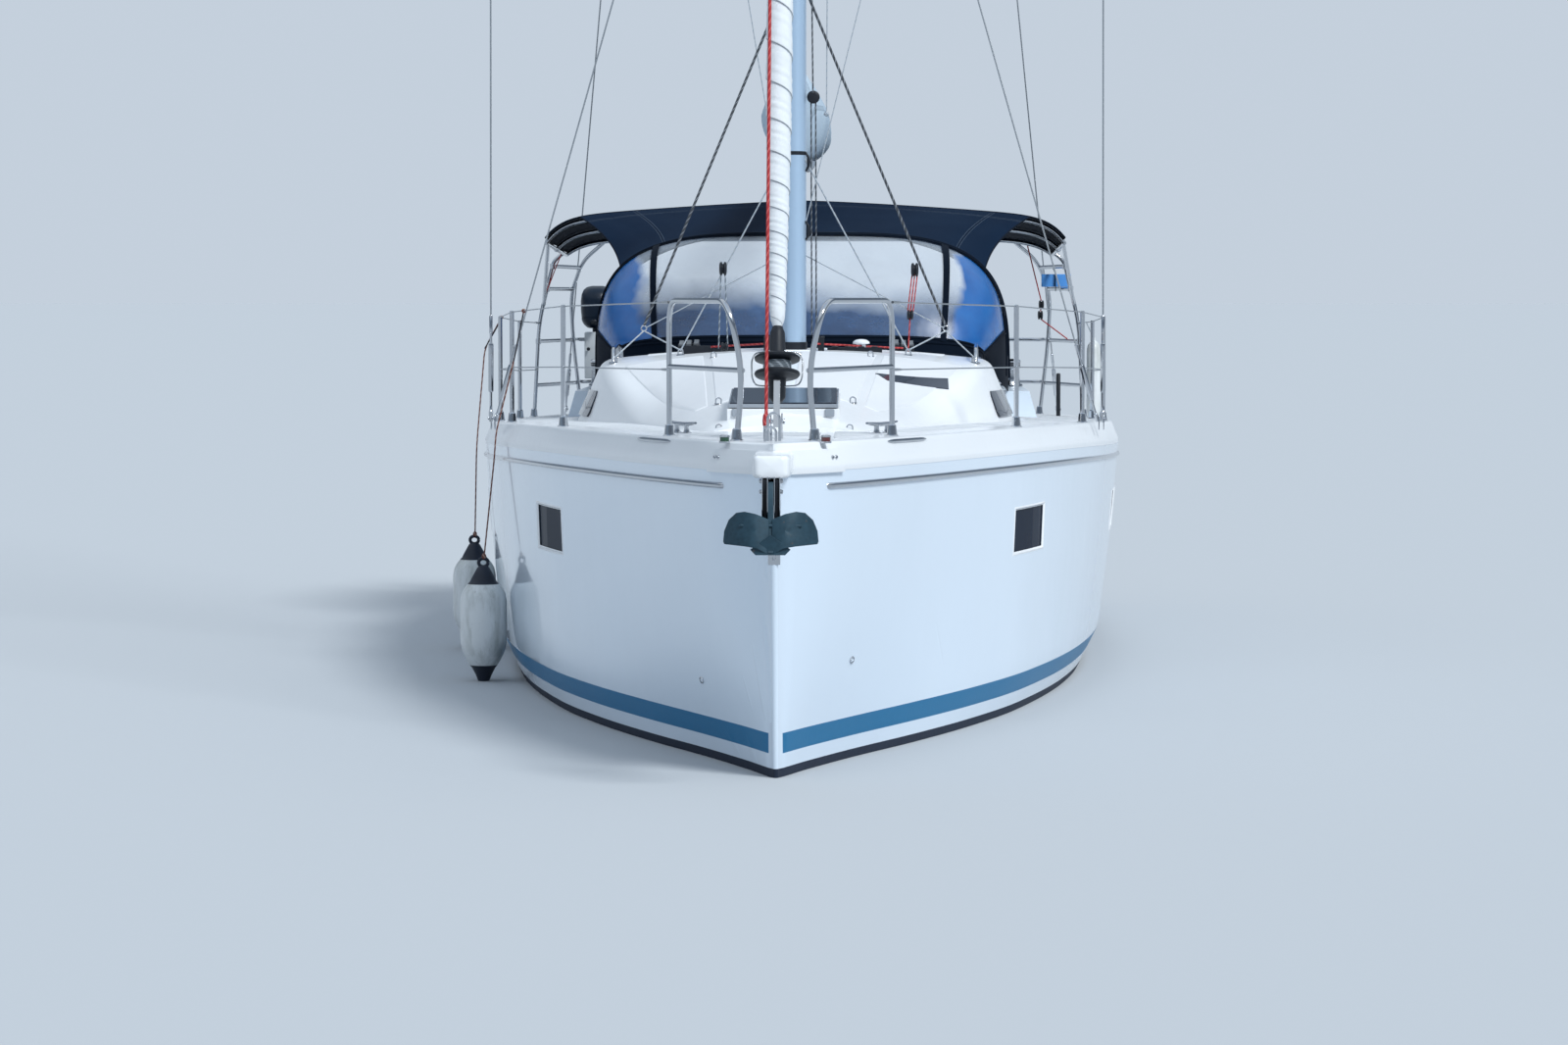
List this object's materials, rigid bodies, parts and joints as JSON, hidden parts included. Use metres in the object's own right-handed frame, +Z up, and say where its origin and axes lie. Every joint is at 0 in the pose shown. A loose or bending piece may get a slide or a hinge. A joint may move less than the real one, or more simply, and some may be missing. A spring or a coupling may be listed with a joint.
{
  "type": "sailing yacht",
  "caption": "Cruising sloop afloat with keel, rudder, twin wheels, furled headsail, bagged mainsail, sprayhood and awning.",
  "frame": {"origin": "on the waterline plane, on the centreline, midway along the hull", "axes": "+Z up, -Y towards the bow, +X to port"},
  "size_m": [3.9123, 11.543, 17.025],
  "materials": {
    "gelcoat_white": "polished white gelcoat",
    "deck_non_skid": "fine non-skid pattern moulded in",
    "stainless": "polished",
    "rigging_wire": "stranded",
    "galvanised": "dull zinc",
    "spar": "anodised",
    "canvas_navy": "acrylic canvas",
    "clear_window": "flexible clear sheet",
    "dark_glass": "smoked acrylic",
    "sail_cloth": "woven polyester",
    "bag_cloth": "woven acrylic",
    "black_plastic": "satin",
    "painted_iron": "antifouling paint",
    "teak": "oiled",
    "engine_paint": "satin",
    "fender_vinyl": "satin vinyl",
    "bronze": "polished"
  },
  "bodies": {
    "yacht": {"hull": "gelcoat_white", "coachroof": "gelcoat_white", "bow_fitting": "gelcoat_white", "helm_pedestal_port": "gelcoat_white", "helm_pedestal_starboard": "gelcoat_white", "deck": "deck_non_skid", "cockpit": "deck_non_skid", "rub_rail_port": "stainless", "rub_rail_starboard": "stainless", "pulpit_port": "stainless", "pulpit_starboard": "stainless", "guardrail_port": "stainless", "guardrail_starboard": "stainless", "stern_frame": "stainless", "winch_port": "stainless", "winch_starboard": "stainless", "bow_cleat_port": "stainless", "bow_cleat_starboard": "stainless", "cap_shroud_port": "rigging_wire", "cap_shroud_starboard": "rigging_wire", "lower_shroud_port": "rigging_wire", "lower_shroud_starboard": "rigging_wire", "backstay_port": "rigging_wire", "backstay_starboard": "rigging_wire", "anchor": "galvanised", "mast": "spar", "bimini": "canvas_navy", "sprayhood": "canvas_navy", "canopy_link": "canvas_navy", "sprayhood_window": "clear_window", "hull_window_forward_port": "dark_glass", "hull_window_forward_starboard": "dark_glass", "hull_window_aft_port": "dark_glass", "hull_window_aft_starboard": "dark_glass", "coachroof_window_port": "dark_glass", "coachroof_window_starboard": "dark_glass", "rolled_headsail": "sail_cloth", "furler": "black_plastic", "outboard": "black_plastic", "saildrive": "black_plastic", "keel": "painted_iron", "cockpit_table": "teak", "washboard": "teak", "engine": "engine_paint", "fender_forward": "fender_vinyl", "fender_aft": "fender_vinyl"},
    "boom": {"boom": "spar", "sail_bag": "bag_cloth"},
    "rudder": {"rudder": "painted_iron"},
    "wheel_port": {"wheel_port": "stainless"},
    "wheel_starboard": {"wheel_starboard": "stainless"},
    "propeller": {"propeller": "bronze"},
    "foredeck_hatch": {"foredeck_hatch": "dark_glass"},
    "anchor_locker_lid": {"anchor_locker_lid": "deck_non_skid"},
    "companionway_hatch": {"companionway_hatch": "gelcoat_white"},
    "swim_platform": {"swim_platform": "gelcoat_white"},
    "seat_lid_port": {"seat_lid_port": "gelcoat_white"},
    "seat_lid_starboard": {"seat_lid_starboard": "gelcoat_white"}
  },
  "joints": [
    {"name": "boom_swing", "type": "hinge", "parent": "yacht", "child": "boom", "pos_m": [0, -0.59, 2.75], "axis": [0, 0, 1], "range_deg": [-58, 58]},
    {"name": "rudder_turn", "type": "hinge", "parent": "yacht", "child": "rudder", "pos_m": [0, 4.7, -0.2], "axis": [0, 0, 1], "range_deg": [-35, 35]},
    {"name": "wheel_port_turn", "type": "hinge", "parent": "yacht", "child": "wheel_port", "pos_m": [0.78, 3.83, 1.3], "axis": [0, 1, 0], "range_deg": [-265, 265]},
    {"name": "wheel_starboard_turn", "type": "hinge", "parent": "yacht", "child": "wheel_starboard", "pos_m": [-0.78, 3.83, 1.3], "axis": [0, 1, 0], "range_deg": [-265, 265]},
    {"name": "propeller_spin", "type": "hinge", "parent": "yacht", "child": "propeller", "pos_m": [0, 1.68, -0.8], "axis": [0, 1, 0], "continuous": true},
    {"name": "foredeck_hatch_open", "type": "hinge", "parent": "yacht", "child": "foredeck_hatch", "pos_m": [0, -3.545, 1.554], "axis": [1, 0, 0], "range_deg": [0, 80]},
    {"name": "anchor_locker_open", "type": "hinge", "parent": "yacht", "child": "anchor_locker_lid", "pos_m": [0, -3.95, 1.4435], "axis": [-1, 0, 0], "range_deg": [0, 85]},
    {"name": "companionway_slide", "type": "slide", "parent": "yacht", "child": "companionway_hatch", "axis": [0, -1, 0], "range_m": [0, 0.45]},
    {"name": "swim_platform_fold", "type": "hinge", "parent": "yacht", "child": "swim_platform", "pos_m": [0, 5.45, 0.4303], "axis": [-1, 0, 0], "range_deg": [0, 90]},
    {"name": "seat_lid_port_open", "type": "hinge", "parent": "yacht", "child": "seat_lid_port", "pos_m": [1.09, 2.6, 0.91], "axis": [0, 1, 0], "range_deg": [0, 80]},
    {"name": "seat_lid_starboard_open", "type": "hinge", "parent": "yacht", "child": "seat_lid_starboard", "pos_m": [-1.09, 2.6, 0.91], "axis": [0, -1, 0], "range_deg": [0, 80]}
  ],
  "couplings": [
    {"joint": "wheel_port_turn", "follows": "rudder_turn", "ratio": -7.5},
    {"joint": "wheel_starboard_turn", "follows": "rudder_turn", "ratio": -7.5}
  ]
}
